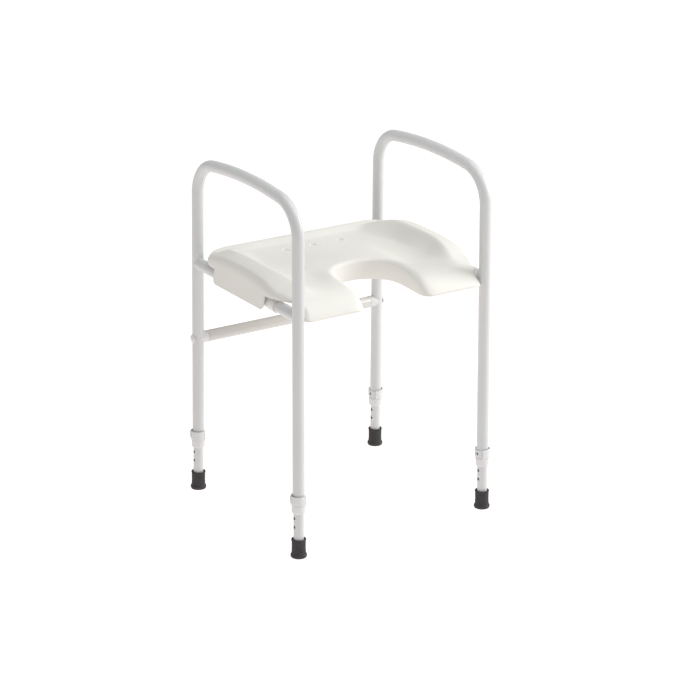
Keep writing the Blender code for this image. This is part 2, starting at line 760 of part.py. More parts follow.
clear_scene()
materials = {
    "frame": material("white_powder_coat", (0.80, 0.81, 0.82), 0.35),
    "bar": material("grey_white_powder_coat", (0.72, 0.71, 0.68), 0.4),
    "seat": material("ivory_plastic", (0.84, 0.83, 0.78), 0.4),
    "clip": material("pale_plastic", (0.80, 0.80, 0.79), 0.45),
    "cap": material("pale_cap", (0.78, 0.78, 0.78), 0.4),
    "rubber": material("grey_rubber", (0.055, 0.05, 0.053), 0.8),
    "steel": material("zinc_steel", (0.55, 0.56, 0.58), 0.35, 1.0),
}
for side_word, side_sign in SIDES.items():
    build_side(side_word, side_sign)
build_cross_bar()
build_seat()
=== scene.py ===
"""Looks of a raised toilet seat: an ivory moulded seat with a front cut-out,
carried between two bent side tubes, a rear cross bar and four telescopic legs
with snap clips and rubber feet. Shapes are built in millimetres around the
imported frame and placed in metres. Left is -X, front is -Y."""
import json
import math

import bmesh
import bpy
from mathutils import Matrix, Vector

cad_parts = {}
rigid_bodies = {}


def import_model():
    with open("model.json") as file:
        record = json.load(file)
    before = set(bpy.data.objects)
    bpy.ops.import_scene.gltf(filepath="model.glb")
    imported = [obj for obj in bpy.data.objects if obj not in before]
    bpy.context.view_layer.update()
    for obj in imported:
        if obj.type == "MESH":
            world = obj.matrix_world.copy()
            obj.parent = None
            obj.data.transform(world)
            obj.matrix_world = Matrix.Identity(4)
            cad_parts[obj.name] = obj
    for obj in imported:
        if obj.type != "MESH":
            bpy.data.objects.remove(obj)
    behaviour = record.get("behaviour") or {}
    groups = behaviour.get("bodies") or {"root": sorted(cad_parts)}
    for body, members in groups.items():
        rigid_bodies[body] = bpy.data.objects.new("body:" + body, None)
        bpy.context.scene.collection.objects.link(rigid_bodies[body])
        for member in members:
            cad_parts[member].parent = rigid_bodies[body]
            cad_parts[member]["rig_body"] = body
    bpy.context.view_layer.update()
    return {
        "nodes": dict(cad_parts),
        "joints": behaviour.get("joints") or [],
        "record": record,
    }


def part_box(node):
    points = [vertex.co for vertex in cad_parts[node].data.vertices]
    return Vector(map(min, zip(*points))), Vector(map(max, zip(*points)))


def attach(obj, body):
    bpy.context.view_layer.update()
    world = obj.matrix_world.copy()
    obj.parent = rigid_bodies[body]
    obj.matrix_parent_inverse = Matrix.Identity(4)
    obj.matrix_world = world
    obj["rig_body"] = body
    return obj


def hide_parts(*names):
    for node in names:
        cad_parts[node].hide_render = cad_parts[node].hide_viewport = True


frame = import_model()

MM = 0.001
SHARP_ANGLE = 40.0      # edges bent further than this stay sharp, in degrees
SIDES = {"left": -1.0, "right": 1.0}
ENDS = {"front": -1.0, "rear": 1.0}
record = frame["record"]
mounts = {m["name"]: Vector(m["pos_m"]) / MM for m in record["mounts"]}
slides = {j["name"]: Vector(j["axis"]) for j in frame["joints"]}
slot_of = {s["node"]: s["material_slot"] for s in record["subparts"]}


def cad(node):
    """Lowest corner, highest corner and centre of a CAD node in millimetres."""
    low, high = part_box(node)
    return low / MM, high / MM, (low + high) / 2.0 / MM


# Sizes read from the frame
BAR_LOW, BAR_HIGH, BAR_CENTRE = cad("rear_cross_bar")
TUBE_R = (BAR_HIGH.z - BAR_LOW.z) / 2.0
BAR_END_X = BAR_HIGH.x
BAR_Y = BAR_CENTRE.y
BAR_Z = BAR_CENTRE.z
FRAME_LOW, FRAME_HIGH, _ = cad("right_side_frame")
TUBE_FOOT_Z = FRAME_LOW.z
ARM_TOP_Z = FRAME_HIGH.z - TUBE_R
RAIL_Z = cad("right_seat_rail")[2].z
FOOT_HALF_X = mounts["rear_right_foot"].x
FOOT_HALF_Y = mounts["rear_right_foot"].y
SLIDE = slides["rear_right_leg_slide"]
LEAN_X = -SLIDE.x / SLIDE.z
LEAN_Y = -SLIDE.y / SLIDE.z
PIN_Z = cad("rear_right_lock_clip")[2].z
SEAT_LOW, SEAT_HIGH, _ = cad("seat")
SEAT_HALF_X = SEAT_HIGH.x
SEAT_FRONT_Y = SEAT_LOW.y
SEAT_BACK_Y = SEAT_HIGH.y
SKIRT_Z = SEAT_LOW.z

# Side tubes
TUBE_WALL = 1.2
TUBE_SIDES = 48
ARM_PEAK_Y = -4.0
ARCH_R = 1095.0
BEND_R = 76.0
WELD = 2.4              # how far the weld fillets stand out
HOLE_R = 3.5
DRILL_LENGTH = 40.0     # tools that cut holes reach through a whole tube

# Telescopic legs
INNER_R = 11.0
INNER_WALL = 1.2
INNER_TOP_Z = 250.0
INNER_FOOT_Z = 8.8
HOLE_PITCH = 20.0
HOLES_EACH_WAY = 3
COLLAR_R = 14.8
COLLAR_LEDGE = 0.7
COLLAR_FOOT_Z = 98.5
COLLAR_TOP_Z = 136.0
CLIP_R = 16.7
CLIP_WALL = 1.6
CLIP_HEIGHT = 20.5
CLIP_WRAP = math.radians(124.0)
PAD_WRAP = math.radians(24.0)
PAD_OUT = 2.2
RIDGE_PITCH = 4.6
RIDGE_OUT = 0.55
CLIP_EDGE = 0.7         # rounding of the band's upper and lower edge
PIN_R = 3.0
PIN_LENGTH = 12.5
FERRULE_R = 15.0
FERRULE_FLANGE_R = 17.5
FERRULE_HEIGHT = 40.0
FERRULE_FLOOR = 7.0
FERRULE_GROOVES = (5.0, 11.0)    # inner radii of the ring treads

# Cross bar joints
BAR_WALL = 1.5
DOME_R = 9.0
DOME_HEIGHT = 3.0
SHANK_R = 3.0
SHANK_TIP_X = 193.0

# Seat
SEAT_WALL = 2.8
SEAT_SKIN = 4.0
SEAT_CORNER_R = 75.0
SEAT_BOTTOM_Z = 513.0   # lower edge of the front, back and cut-out walls
WING_Z = 541.5          # lower edge where the seat passes over the rails
SKIRT_Y = (-96.0, 106.0)
SKIRT_CORNER_R = 11.0
SKIRT_OUT = 5.0         # the side skirts slant out by this much to their foot
CREST_X = 205.0         # the ridges along both sides
FRONT_PINCH = 20.0      # they draw together by this much at each end
BACK_PINCH = 32.0
CREST_Z = 583.0
CREST_SOFT = 3.0        # rounding of the ridges
SHOULDER_Z = 572.5      # outer edge beside the ridges
ARCH_Y = 20.0           # where the ridges are highest
VALLEY_X = 118.0        # the bowl starts to rise outside this
BANK_FOOT_X = 165.0     # the crisp bank at the back starts outside this
DRAIN_Z = 553.0         # the dish at the drain holes
CUT_RISE = 4.0          # the dish stands this much higher beside the cut-out
BACK_RISE = 8.0         # and this much along the back
BACK_ROLL = 16.0        # widths of the rolls along the rim
SIDE_ROLL = 12.0
BACK_WALL_Z = 540.0     # heights where the upright walls turn into the top
SIDE_WALL_Z = 546.0
FRONT_WALL_Z = 516.0
FRONT_LIP = 3.5
FRONT_ROLL_Y = -120.0   # the front edge starts to roll down here
FRONT_FALL = 36.0
CUT_ROLL = 10.0
DIMPLE = (169.0, -72.0)
DIMPLE_HALF = (17.0, 12.0)
DIMPLE_DEPTH = 0.7
NARROW_X = 216.0        # half width of the seat between the front legs
FLARE_Y = (-196.0, -102.0)
FRONT_CORNER_R = 11.0
MOUTH_R = 18.0          # rounding of the cut-out's front corners
CUT_HALF_X = 77.0
CUT_NECK_X = 73.5
CUT_MOUTH_X = 76.0
CUT_BACK_Y = -40.0
CUT_CENTRE_Y = -113.0
CUT_POWER = 2.1
DRAIN_R = 8.0
DRAIN_PITCH = 69.0
DRAIN_Y = 107.0
HOOK_OUT = 1.8
BLOCK_X = (4.0, 1.0, -2.5, -6.0, -9.6)    # top of a seat clip, out to in
HOOK_ANGLES = (-70.0, 200.0)    # how far the seat clips wrap round the rails
SEAT_CLIP_Y = {"front": (-128.0, -104.0), "rear": (58.0, 88.0)}

# Spacing of the seat's mesh, closest where its edges roll over
FRONT_ROWS = (0.0, 0.6, 1.6, 3.2, 5.5, 8.5, 12.0, 16.0, 20.5, 25.0, 29.5, 34.0)
CUT_EDGE = (0.0, 0.4, 1.2, 2.5, 4.2, 6.4, 9.2, 12.8, 17.5, 23.0)
RIM_EDGE = (0.0, 0.3, 1.0, 2.2, 3.8, 5.8, 8.0, 10.0, 13.0,
            18.0, 24.0, 30.0, 36.0, 40.0, 44.0, 48.0, 54.0, 62.0)
MIDDLE_COLUMNS = 20


# ------------------------------------------------------------- mesh tools

def bridge(bm, first, second):
    for i in range(len(first)):
        j = (i + 1) % len(first)
        bm.faces.new((first[i], first[j], second[j], second[i]))


def loft(rings, closed=False):
    """A body through rings of points; an open one gets end caps."""
    bm = bmesh.new()
    loops = [[bm.verts.new(p) for p in ring] for ring in rings]
    for first, second in zip(loops, loops[1:]):
        bridge(bm, first, second)
    if closed:
        bridge(bm, loops[-1], loops[0])
    else:
        bm.faces.new(loops[0])
        bm.faces.new(loops[-1])
    return bm


def lathe(profile, sides=64, closed=True):
    """Turn (radius, height) points about Z. An open profile starts and ends
    on the axis; a closed one makes a ring-shaped body."""
    bm = bmesh.new()
    loops = []
    for radius, height in profile:
        if radius < 1e-6:
            loops.append([bm.verts.new((0.0, 0.0, height))])
            continue
        turns = [2.0 * math.pi * k / sides for k in range(sides)]
        ring = [(radius * math.cos(a), radius * math.sin(a), height) for a in turns]
        loops.append([bm.verts.new(point) for point in ring])
    pairs = list(zip(loops, loops[1:]))
    if closed:
        pairs.append((loops[-1], loops[0]))
    for first, second in pairs:
        if len(first) > 1 and len(second) > 1:
            bridge(bm, first, second)
            continue
        pole, ring = (first[0], second) if len(first) == 1 else (second[0], first)
        for i, vert in enumerate(ring):
            bm.faces.new((pole, vert, ring[(i + 1) % len(ring)]))
    return bm


def rounded(corners, closed=True, steps=4):
    """Points along a polygon whose (x, y, radius) corners are filleted."""
    points = []
    count = len(corners)
    for i, (x, y, radius) in enumerate(corners):
        at_end = not closed and i in (0, count - 1)
        if radius <= 0.0 or at_end:
            points.append((x, y))
            continue
        here = Vector((x, y))
        before = (Vector(corners[i - 1][:2]) - here).normalized()
        after = (Vector(corners[(i + 1) % count][:2]) - here).normalized()
        half = before.angle(after) / 2.0
        start = here + before * radius / math.tan(half)
        centre = here + (before + after).normalized() * radius / math.sin(half)
        spoke = start - centre
        turn = math.pi - 2.0 * half
        sign = -1.0 if before.x * after.y - before.y * after.x > 0.0 else 1.0
        for k in range(steps + 1):
            angle = sign * turn * k / steps
            c, s = math.cos(angle), math.sin(angle)
            x = centre.x + spoke.x * c - spoke.y * s
            points.append((x, centre.y + spoke.x * s + spoke.y * c))
    return points


def make_object(name, bm, place=None, sharp=SHARP_ANGLE):
    """A metre object from a millimetre bmesh, smooth but for sharp edges."""
    bmesh.ops.remove_doubles(bm, verts=bm.verts, dist=1e-4)
    bmesh.ops.recalc_face_normals(bm, faces=bm.faces)
    mesh = bpy.data.meshes.new(name)
    bm.to_mesh(mesh)
    bm.free()
    if place is not None:
        mesh.transform(place)
    mesh.transform(Matrix.Scale(MM, 4))
    mesh.shade_smooth()
    mesh.set_sharp_from_angle(angle=math.radians(sharp))
    obj = bpy.data.objects.new(name, mesh)
    bpy.context.scene.collection.objects.link(obj)
    return obj


def apply_modifiers(obj):
    graph = bpy.context.evaluated_depsgraph_get()
    result = bpy.data.meshes.new_from_object(obj.evaluated_get(graph))
    obj.modifiers.clear()
    obj.data = result
    result.shade_smooth()
    result.set_sharp_from_angle(angle=math.radians(SHARP_ANGLE))


def combine(obj, tool, operation):
    """Apply a boolean to a finished mesh and drop its tool."""
    step = obj.modifiers.new("step", "BOOLEAN")
    step.operation = operation
    step.solver = "EXACT"
    step.object = tool
    apply_modifiers(obj)
    bpy.data.objects.remove(tool)


def soften(obj, width):
    """Round the sharp edges of a finished mesh."""
    step = obj.modifiers.new("soften", "BEVEL")
    step.width = width * MM
    step.segments = 2
    step.limit_method = "ANGLE"
    step.angle_limit = math.radians(35.0)
    apply_modifiers(obj)


def cross_holes(name, radius, heights, place):
    """Bars along local X at the given heights, to cut holes with."""
    bm = bmesh.new()
    turn = Matrix.Rotation(math.pi / 2.0, 4, "Y")
    for height in heights:
        spot = Matrix.Translation((0.0, 0.0, height)) @ turn
        bmesh.ops.create_cone(bm, cap_ends=True, segments=32, radius1=radius, radius2=radius,
                              depth=DRILL_LENGTH, matrix=spot)
    return make_object(name, bm, place)


def stand_in(obj, node):
    """Show a finished piece in place of a CAD node, in its material."""
    obj.data.materials.clear()
    obj.data.materials.append(finishes[slot_of[node]])
    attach(obj, frame["nodes"][node]["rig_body"])
    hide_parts(node)


# -------------------------------------------------------------- side tubes

def leg_x(z):
    return FOOT_HALF_X - LEAN_X * z


def leg_y(z):
    return FOOT_HALF_Y - LEAN_Y * z


def leg_place(side, end, z):
    """Local X points away from the seat, local Z up the leg."""
    up = Vector((-side * LEAN_X, -end * LEAN_Y, 1.0)).normalized()
    out = Vector((side, 0.0, 0.0))
    out = (out - up * out.dot(up)).normalized()
    place = Matrix((out, up.cross(out), up)).transposed().to_4x4()
    place.translation = Vector((side * leg_x(z), end * leg_y(z), z))
    return place


def bend_centre(end):
    """Centre (y, z) of the bend that is tangent to the leg and the arch."""
    slope = math.hypot(1.0, LEAN_Y)
    z = ARM_TOP_Z - BEND_R
    for _ in range(30):
        y = end * (leg_y(z) - BEND_R * slope)
        z = ARM_TOP_Z - ARCH_R + math.sqrt((ARCH_R - BEND_R) ** 2 - (y - ARM_PEAK_Y) ** 2)
    return y, z


def half_path(end, steps=22):
    """Centre line (y, z) up one leg and round its bend."""
    cy, cz = bend_centre(end)
    tilt = math.atan2((cy - ARM_PEAK_Y) * end, cz - ARM_TOP_Z + ARCH_R)
    start = math.atan(LEAN_Y)
    stop = math.pi / 2.0 - tilt
    path = [(end * leg_y(z), z) for z in (TUBE_FOOT_Z, 250.0, 400.0, RAIL_Z, 610.0)]
    for k in range(steps + 1):
        angle = start + (stop - start) * k / steps
        path.append((cy + end * BEND_R * math.cos(angle), cz + BEND_R * math.sin(angle)))
    return path


def side_path(steps=30):
    """Centre line from the rear foot over the armrest to the front foot."""
    rear = half_path(1.0)
    front = half_path(-1.0)[::-1]
    base_z = ARM_TOP_Z - ARCH_R
    start = math.atan2(rear[-1][1] - base_z, rear[-1][0] - ARM_PEAK_Y)
    stop = math.atan2(front[0][1] - base_z, front[0][0] - ARM_PEAK_Y)
    top = []
    for k in range(1, steps):
        angle = start + (stop - start) * k / steps
        top.append((ARM_PEAK_Y + ARCH_R * math.cos(angle), base_z + ARCH_R * math.sin(angle)))
    return rear + top + front


def tube_rings(path, side, radius):
    """Rings of the bent tube, whose plane leans with the legs."""
    plane = Vector((1.0, 0.0, side * LEAN_X)).normalized()
    points = [Vector((side * leg_x(z), y, z)) for y, z in path]
    rings = []
    for i, point in enumerate(points):
        along = points[min(i + 1, len(points) - 1)] - points[max(i - 1, 0)]
        normal = along.normalized().cross(plane).normalized()
        ring = []
        for k in range(TUBE_SIDES):
            angle = 2.0 * math.pi * k / TUBE_SIDES
            ring.append(point + (plane * math.cos(angle) + normal * math.sin(angle)) * radius)
        rings.append(ring)
    return rings


def build_side_tube(word, side):
    """Both legs and the armrest of one side, bent from one tube."""
    path = side_path()
    rings = tube_rings(path, side, TUBE_R) + tube_rings(path, side, TUBE_R - TUBE_WALL)[::-1]
    obj = make_object(word + "_side_tube", loft(rings, closed=True))
    for end in ENDS.values():
        drill = cross_holes("pin_hole", HOLE_R, (0.0,), leg_place(side, end, PIN_Z))
        combine(obj, drill, "DIFFERENCE")
    drill = cross_holes("bolt_hole", HOLE_R, (0.0,), leg_place(side, 1.0, BAR_Z))
    combine(obj, drill, "DIFFERENCE")
    stand_in(obj, word + "_side_frame")


def rail_ring(side, end, radius, gap, swell):
    """One ring of a seat rail, a gap away from the leg that it is welded to."""
    ring = []
    for k in range(TUBE_SIDES):
        angle = 2.0 * math.pi * k / TUBE_SIDES
        reach_out = radius + swell * abs(math.sin(angle)) ** 1.5
        dx = reach_out * math.cos(angle)
        z = RAIL_Z + reach_out * math.sin(angle)
        off_axis = dx + side * LEAN_X * (z - RAIL_Z)
        reach = math.sqrt(max((TUBE_R - 0.2) ** 2 - off_axis ** 2, 0.0))
        ring.append((side * leg_x(RAIL_Z) + dx, end * (leg_y(z) - reach - gap), z))
    return ring


def build_seat_rail(word, side):
    """Straight tube welded to both legs, with the weld's fillet at each end."""
    fillet = [(WELD * (1.0 - math.sin(a)) + 0.01, WELD * (1.0 - math.cos(a)))
              for a in (math.radians(15.0 * k) for k in range(7))]
    rings = [rail_ring(side, -1.0, TUBE_R, gap, swell) for swell, gap in fillet]
    rings += [rail_ring(side, 1.0, TUBE_R, gap, swell) for swell, gap in fillet[::-1]]
    bore = TUBE_R - TUBE_WALL
    rings += [rail_ring(side, 1.0, bore, 0.0, 0.0), rail_ring(side, -1.0, bore, 0.0, 0.0)]
    obj = make_object(word + "_rail_tube", loft(rings, closed=True), sharp=60.0)
    stand_in(obj, word + "_seat_rail")


# --------------------------------------------------------------- cross bar

def along_x(profile, side, closed=True):
    """Turn (radius, |x|) points about the cross bar's axis."""
    bm = lathe([(radius, side * x) for radius, x in profile], TUBE_SIDES, closed)
    place = Matrix.Translation((0.0, BAR_Y, BAR_Z)) @ Matrix.Rotation(math.pi / 2.0, 4, "Y")
    bmesh.ops.transform(bm, matrix=place, verts=bm.verts)
    return bm


def build_cross_bar():
    bore = TUBE_R - BAR_WALL
    corners = [(TUBE_R, -BAR_END_X, 0.7), (TUBE_R, BAR_END_X, 0.7),
               (bore, BAR_END_X, 0.3), (bore, -BAR_END_X, 0.3)]
    stand_in(make_object("cross_bar_tube", along_x(rounded(corners), 1.0)), "rear_cross_bar")


def leg_surface(sign, dy, dz):
    """|x| of the leg's surface beside the bar's axis; sign +1 is outside."""
    reach = math.sqrt(max((TUBE_R + 0.1) ** 2 - dy ** 2, 0.0))
    return leg_x(BAR_Z + dz) + sign * reach


def saddle_ring(side, radius, x_of):
    ring = []
    for k in range(TUBE_SIDES):
        angle = 2.0 * math.pi * k / TUBE_SIDES
        dy, dz = radius * math.cos(angle), radius * math.sin(angle)
        ring.append((side * x_of(dy, dz), BAR_Y + dy, BAR_Z + dz))
    return ring


def build_saddle(word, side):
    """Moulded spacer, flat on the bar's end and hollowed to fit the leg."""
    face = BAR_END_X + 0.2

    def leg_face(dy, dz):
        return leg_surface(-1.0, dy, dz)

    rings = []
    for k in range(5):
        angle = math.radians(22.5 * k)
        radius = TUBE_R - 0.9 + 1.1 * math.sin(angle)
        x = face + 1.1 * (1.0 - math.cos(angle))
        rings.append(saddle_ring(side, radius, lambda dy, dz, x=x: x))
    for radius in (TUBE_R + 0.2, 11.3, 9.0, 6.0, HOLE_R):
        rings.append(saddle_ring(side, radius, leg_face))
    rings.append(saddle_ring(side, HOLE_R, lambda dy, dz: face))
    stand_in(make_object(word + "_saddle_washer", loft(rings, closed=True)), word + "_bar_saddle")


def build_bolt(word, side):
    """Domed head seated on the outside of the leg, with its shank."""
    face = leg_x(BAR_Z) + TUBE_R + 0.3
    skirt_top = face + 0.5
    profile = [(0.0, SHANK_TIP_X), (SHANK_R - 0.5, SHANK_TIP_X), (SHANK_R, SHANK_TIP_X + 0.6),
               (SHANK_R, face - 3.0), (DOME_R - 2.2, face - 1.2), (DOME_R - 0.6, face - 1.6),
               (DOME_R, face - 1.0), (DOME_R, skirt_top)]
    for k in range(1, 12):
        angle = math.radians(90.0 * k / 11.0)
        x = skirt_top + (DOME_HEIGHT - 0.5) * math.sin(angle)
        profile.append((DOME_R * math.cos(angle), x))
    obj = make_object(word + "_domed_bolt", along_x(profile, side, closed=False), sharp=50.0)
    stand_in(obj, word + "_bar_bolt")


# -------------------------------------------------------------------- legs

def build_collar(label, place):
    """Socket pressed on the tube's foot, with a ledge under the clip."""
    low, top = COLLAR_FOOT_Z - PIN_Z, COLLAR_TOP_Z - PIN_Z
    bore, lip = TUBE_R + 0.3, INNER_R + 0.4
    ledge = -CLIP_HEIGHT / 2.0 - 0.5
    step = COLLAR_R + COLLAR_LEDGE
    neck = COLLAR_R - 0.4
    shelf = TUBE_FOOT_Z - PIN_Z - 0.2
    corners = [(lip, low, 0.4), (COLLAR_R, low, 4.0), (COLLAR_R, ledge - 2.4, 0.6),
               (step, ledge - 1.8, 0.5), (step, ledge, 0.5), (neck, ledge, 0.4),
               (neck, top, 0.9), (bore, top, 0.2), (bore, shelf, 0.0), (lip, shelf, 0.2)]
    obj = make_object(label + "_leg_socket", lathe(rounded(corners)), place)
    combine(obj, cross_holes("hole", HOLE_R, (0.0,), place), "DIFFERENCE")
    stand_in(obj, label + "_leg_collar")


def pad_height(angle, z):
    """How far the ridged thumb pad stands out of the clip's band."""
    side_fade = smooth((PAD_WRAP - abs(angle)) / math.radians(7.0))
    ramp = smooth((z + CLIP_HEIGHT / 2.0) / 6.5)
    ridges = RIDGE_OUT * math.cos(2.0 * math.pi * (z - CLIP_HEIGHT / 2.0 + 1.6) / RIDGE_PITCH)
    ridges *= smooth((z + 5.0) / 2.5)
    return side_fade * (PAD_OUT * ramp + ridges - 0.2)


def end_bead(angle):
    """The clip's free ends thicken to a rounded bead."""
    return smooth((abs(angle) - CLIP_WRAP + math.radians(15.0)) / math.radians(5.0))


def clip_ring(angle):
    """Upright section of the C-shaped band at one angle round the leg."""
    half = CLIP_HEIGHT / 2.0
    inner = CLIP_R - CLIP_WALL
    section = [(inner, half), (inner, -half)]
    heights = [-half + CLIP_HEIGHT * k / 28.0 for k in range(29)]
    for z in heights:
        edge = min(half - abs(z), CLIP_EDGE)
        round_off = CLIP_EDGE - math.sqrt(max(CLIP_EDGE ** 2 - (CLIP_EDGE - edge) ** 2, 0.0))
        section.append((CLIP_R + pad_height(angle, z) + end_bead(angle) - round_off, z))
    return [(r * math.cos(angle), r * math.sin(angle), z) for r, z in section]


def build_clip(label, place):
    """Snap clip with a ridged pad, two beaded ends and the locking pin."""
    steps = 84
    angles = [-CLIP_WRAP + 2.0 * CLIP_WRAP * k / steps for k in range(steps + 1)]
    obj = make_object(label + "_snap_clip", loft([clip_ring(a) for a in angles]), place)
    pin = [(0.0, 0.0), (PIN_R - 0.9, 0.0), (PIN_R, 0.9), (PIN_R, PIN_LENGTH), (0.0, PIN_LENGTH)]
    tip_x = CLIP_R - CLIP_WALL / 2.0 - PIN_LENGTH
    turn = place @ Matrix.Translation((tip_x, 0.0, 0.0)) @ Matrix.Rotation(math.pi / 2.0, 4, "Y")
    combine(obj, make_object("pin", lathe(pin, 32, closed=False), turn), "UNION")
    stand_in(obj, label + "_lock_clip")


def build_inner_leg(label, place):
    """Inner tube of a telescopic leg with its row of holes."""
    foot, top = INNER_FOOT_Z - PIN_Z, INNER_TOP_Z - PIN_Z
    bore = INNER_R - INNER_WALL
    corners = [(INNER_R, foot, 0.3), (INNER_R, top, 0.4), (bore, top, 0.3), (bore, foot, 0.3)]
    obj = make_object(label + "_slide_tube", lathe(rounded(corners, steps=2), 48), place)
    heights = [HOLE_PITCH * k for k in range(-HOLES_EACH_WAY, HOLES_EACH_WAY + 1)]
    combine(obj, cross_holes("holes", HOLE_R, heights, place), "DIFFERENCE")
    stand_in(obj, label + "_inner_leg")


def build_ferrule(label, place):
    """Rubber foot with a rolled lip, a flared base and ring treads below."""
    bore = INNER_R + 0.2
    base = FERRULE_FLANGE_R
    wall, top = FERRULE_R, FERRULE_HEIGHT
    corners = [(0.0, 0.0, 0.0)]
    for groove in FERRULE_GROOVES:
        corners += [(groove, 0.0, 0.3), (groove + 0.6, 1.4, 0.3),
                    (groove + 2.4, 1.4, 0.3), (groove + 3.0, 0.0, 0.3)]
    corners += [(base - 0.9, 0.0, 1.2), (base, 4.4, 1.6), (wall + 0.2, 9.2, 3.0),
                (wall - 0.3, 20.0, 3.0), (wall, 36.6, 0.6), (wall + 0.7, 37.6, 0.5),
                (wall + 0.5, top, 0.9), (bore + 1.2, top, 0.9), (bore, top - 2.6, 0.5),
                (bore, FERRULE_FLOOR, 0.0), (0.0, FERRULE_FLOOR, 0.0)]
    bm = lathe(rounded(corners, closed=False, steps=5), 72, closed=False)
    down = Matrix.Translation((0.0, 0.0, -PIN_Z / place[2][2]))
    bmesh.ops.transform(bm, matrix=place @ down, verts=bm.verts)
    for vert in bm.verts:
        if vert.co.z < 0.5:
            vert.co.z = 0.0
    stand_in(make_object(label + "_rubber_foot", bm), label + "_ferrule")


# -------------------------------------------------------------------- seat

def smooth(t):
    t = min(max(t, 0.0), 1.0)
    return t * t * (3.0 - 2.0 * t)


def polar(radius, degrees):
    return radius * math.cos(math.radians(degrees)), radius * math.sin(math.radians(degrees))


def crest_x(y):
    """Half spacing of the two ridges, which draw together at both ends."""
    front = FRONT_PINCH * smooth((-40.0 - y) / 130.0)
    return CREST_X - front - BACK_PINCH * smooth((y - 95.0) / 85.0)


def arch(y):
    """Shape of the ridges along the seat: flat in the middle, then falling."""
    return (max(ARCH_Y - y, 1.05 * (y - ARCH_Y)) / 89.0) ** 3


def crest_fall(y):
    """How far the ridges have dropped below their highest point."""
    if y < ARCH_Y:
        return 19.5 * ((ARCH_Y - y) / 170.0) ** 3.4
    return 5.3 * arch(y)


def dish_height(x, y):
    """The hollow of the seat: a little higher round the cut-out and the back."""
    beside_cut = CUT_RISE * (smooth((DRAIN_Y - y) / 130.0) - smooth((-100.0 - y) / 60.0))
    hollow = -3.0 * smooth((-20.0 - y) / 60.0) + FRONT_LIP * smooth((-78.0 - y) / 50.0)
    share = smooth((x - CUT_HALF_X) / (VALLEY_X - CUT_HALF_X))
    rise = BACK_RISE * smooth((y - 138.0) / 38.0)
    return DRAIN_Z + beside_cut + (hollow - beside_cut) * share + rise


def ridge_rise(x, y):
    """Share of the climb from the dish to the ridge: a crisp bank at the
    back that fades into a soft bowl towards the front."""
    top = crest_x(y)
    soft = max(x - VALLEY_X, 0.0) / (top - VALLEY_X)
    foot = BANK_FOOT_X - 24.0 * smooth((y - 30.0) / 90.0)
    bank = max(x - foot, 0.0) / (top - foot)
    share = 0.75 * smooth((y + 80.0) / 120.0)
    return min(soft, 1.0) ** 2.7 * (1.0 - share) + min(bank, 1.0) ** 1.15 * share


def top_height(x, y):
    """The seat's upper face before its edges are rolled over."""
    x = abs(x)
    low = dish_height(x, y)
    crest = crest_x(y)
    ridge = max(CREST_Z - crest_fall(y) - low, 0.0)
    inner = low + ridge * ridge_rise(x, y)
    shoulder = max(SHOULDER_Z - 4.5 * arch(y) - low, -2.0)
    share = (x - crest) / (rim_half_width(y) - crest)
    outer = low + ridge + (shoulder - ridge) * min(share, 1.0)
    height = 0.5 * (inner + outer - math.hypot(inner - outer, CREST_SOFT))
    mark = math.hypot((x - DIMPLE[0]) / DIMPLE_HALF[0], (y - DIMPLE[1]) / DIMPLE_HALF[1])
    front = max(FRONT_ROLL_Y - y, 0.0) / (FRONT_ROLL_Y - SEAT_FRONT_Y)
    return height - FRONT_FALL * min(front, 1.0) ** 3.6 - DIMPLE_DEPTH * smooth(1.6 - 1.6 * mark)


def edge_fall(distance, width, depth):
    """Quarter-ellipse fall over the last stretch before an edge."""
    if distance >= width:
        return 0.0
    s = 1.0 - max(distance, 0.0) / width
    return depth * (1.0 - math.sqrt(max(1.0 - s * s, 0.0)))


def rim_roll(x, y):
    """Width of the roll at the rim and the height where it turns upright."""
    side = smooth((abs(x) - 150.0) / 70.0)
    front = smooth((-155.0 - y) / 45.0)
    wall = BACK_WALL_Z + (SIDE_WALL_Z - BACK_WALL_Z) * side
    return BACK_ROLL + (SIDE_ROLL - BACK_ROLL) * side, wall + (FRONT_WALL_Z - wall) * front


def skin_height(x, y, from_cut, from_rim, roll):
    width, wall = roll
    height = top_height(x, y)
    cut_roll = CUT_ROLL + 10.0 * smooth((-60.0 - y) / 120.0)
    height -= edge_fall(from_cut, cut_roll, min(0.9 * cut_roll, height - FRONT_WALL_Z))
    return height - edge_fall(from_rim, width, max(height - wall, 0.0))


def lower_edge(x, y):
    """Outward step and height of the outer wall's lower edge at the rim."""
    low, high = SKIRT_Y
    if low <= y <= high and x > CREST_X:
        t = min(y - low, high - y, SKIRT_CORNER_R)
        z = SKIRT_Z + SKIRT_CORNER_R - math.sqrt(SKIRT_CORNER_R ** 2 - (SKIRT_CORNER_R - t) ** 2)
        return SKIRT_OUT * (SIDE_WALL_Z - z) / (SIDE_WALL_Z - SKIRT_Z), z
    return 0.0, WING_Z if x > NARROW_X + 0.5 else SEAT_BOTTOM_Z


def rim_half_width(y):
    flare = smooth((y - FLARE_Y[0]) / (FLARE_Y[1] - FLARE_Y[0]))
    return NARROW_X + (SEAT_HALF_X - SKIRT_OUT - NARROW_X) * flare


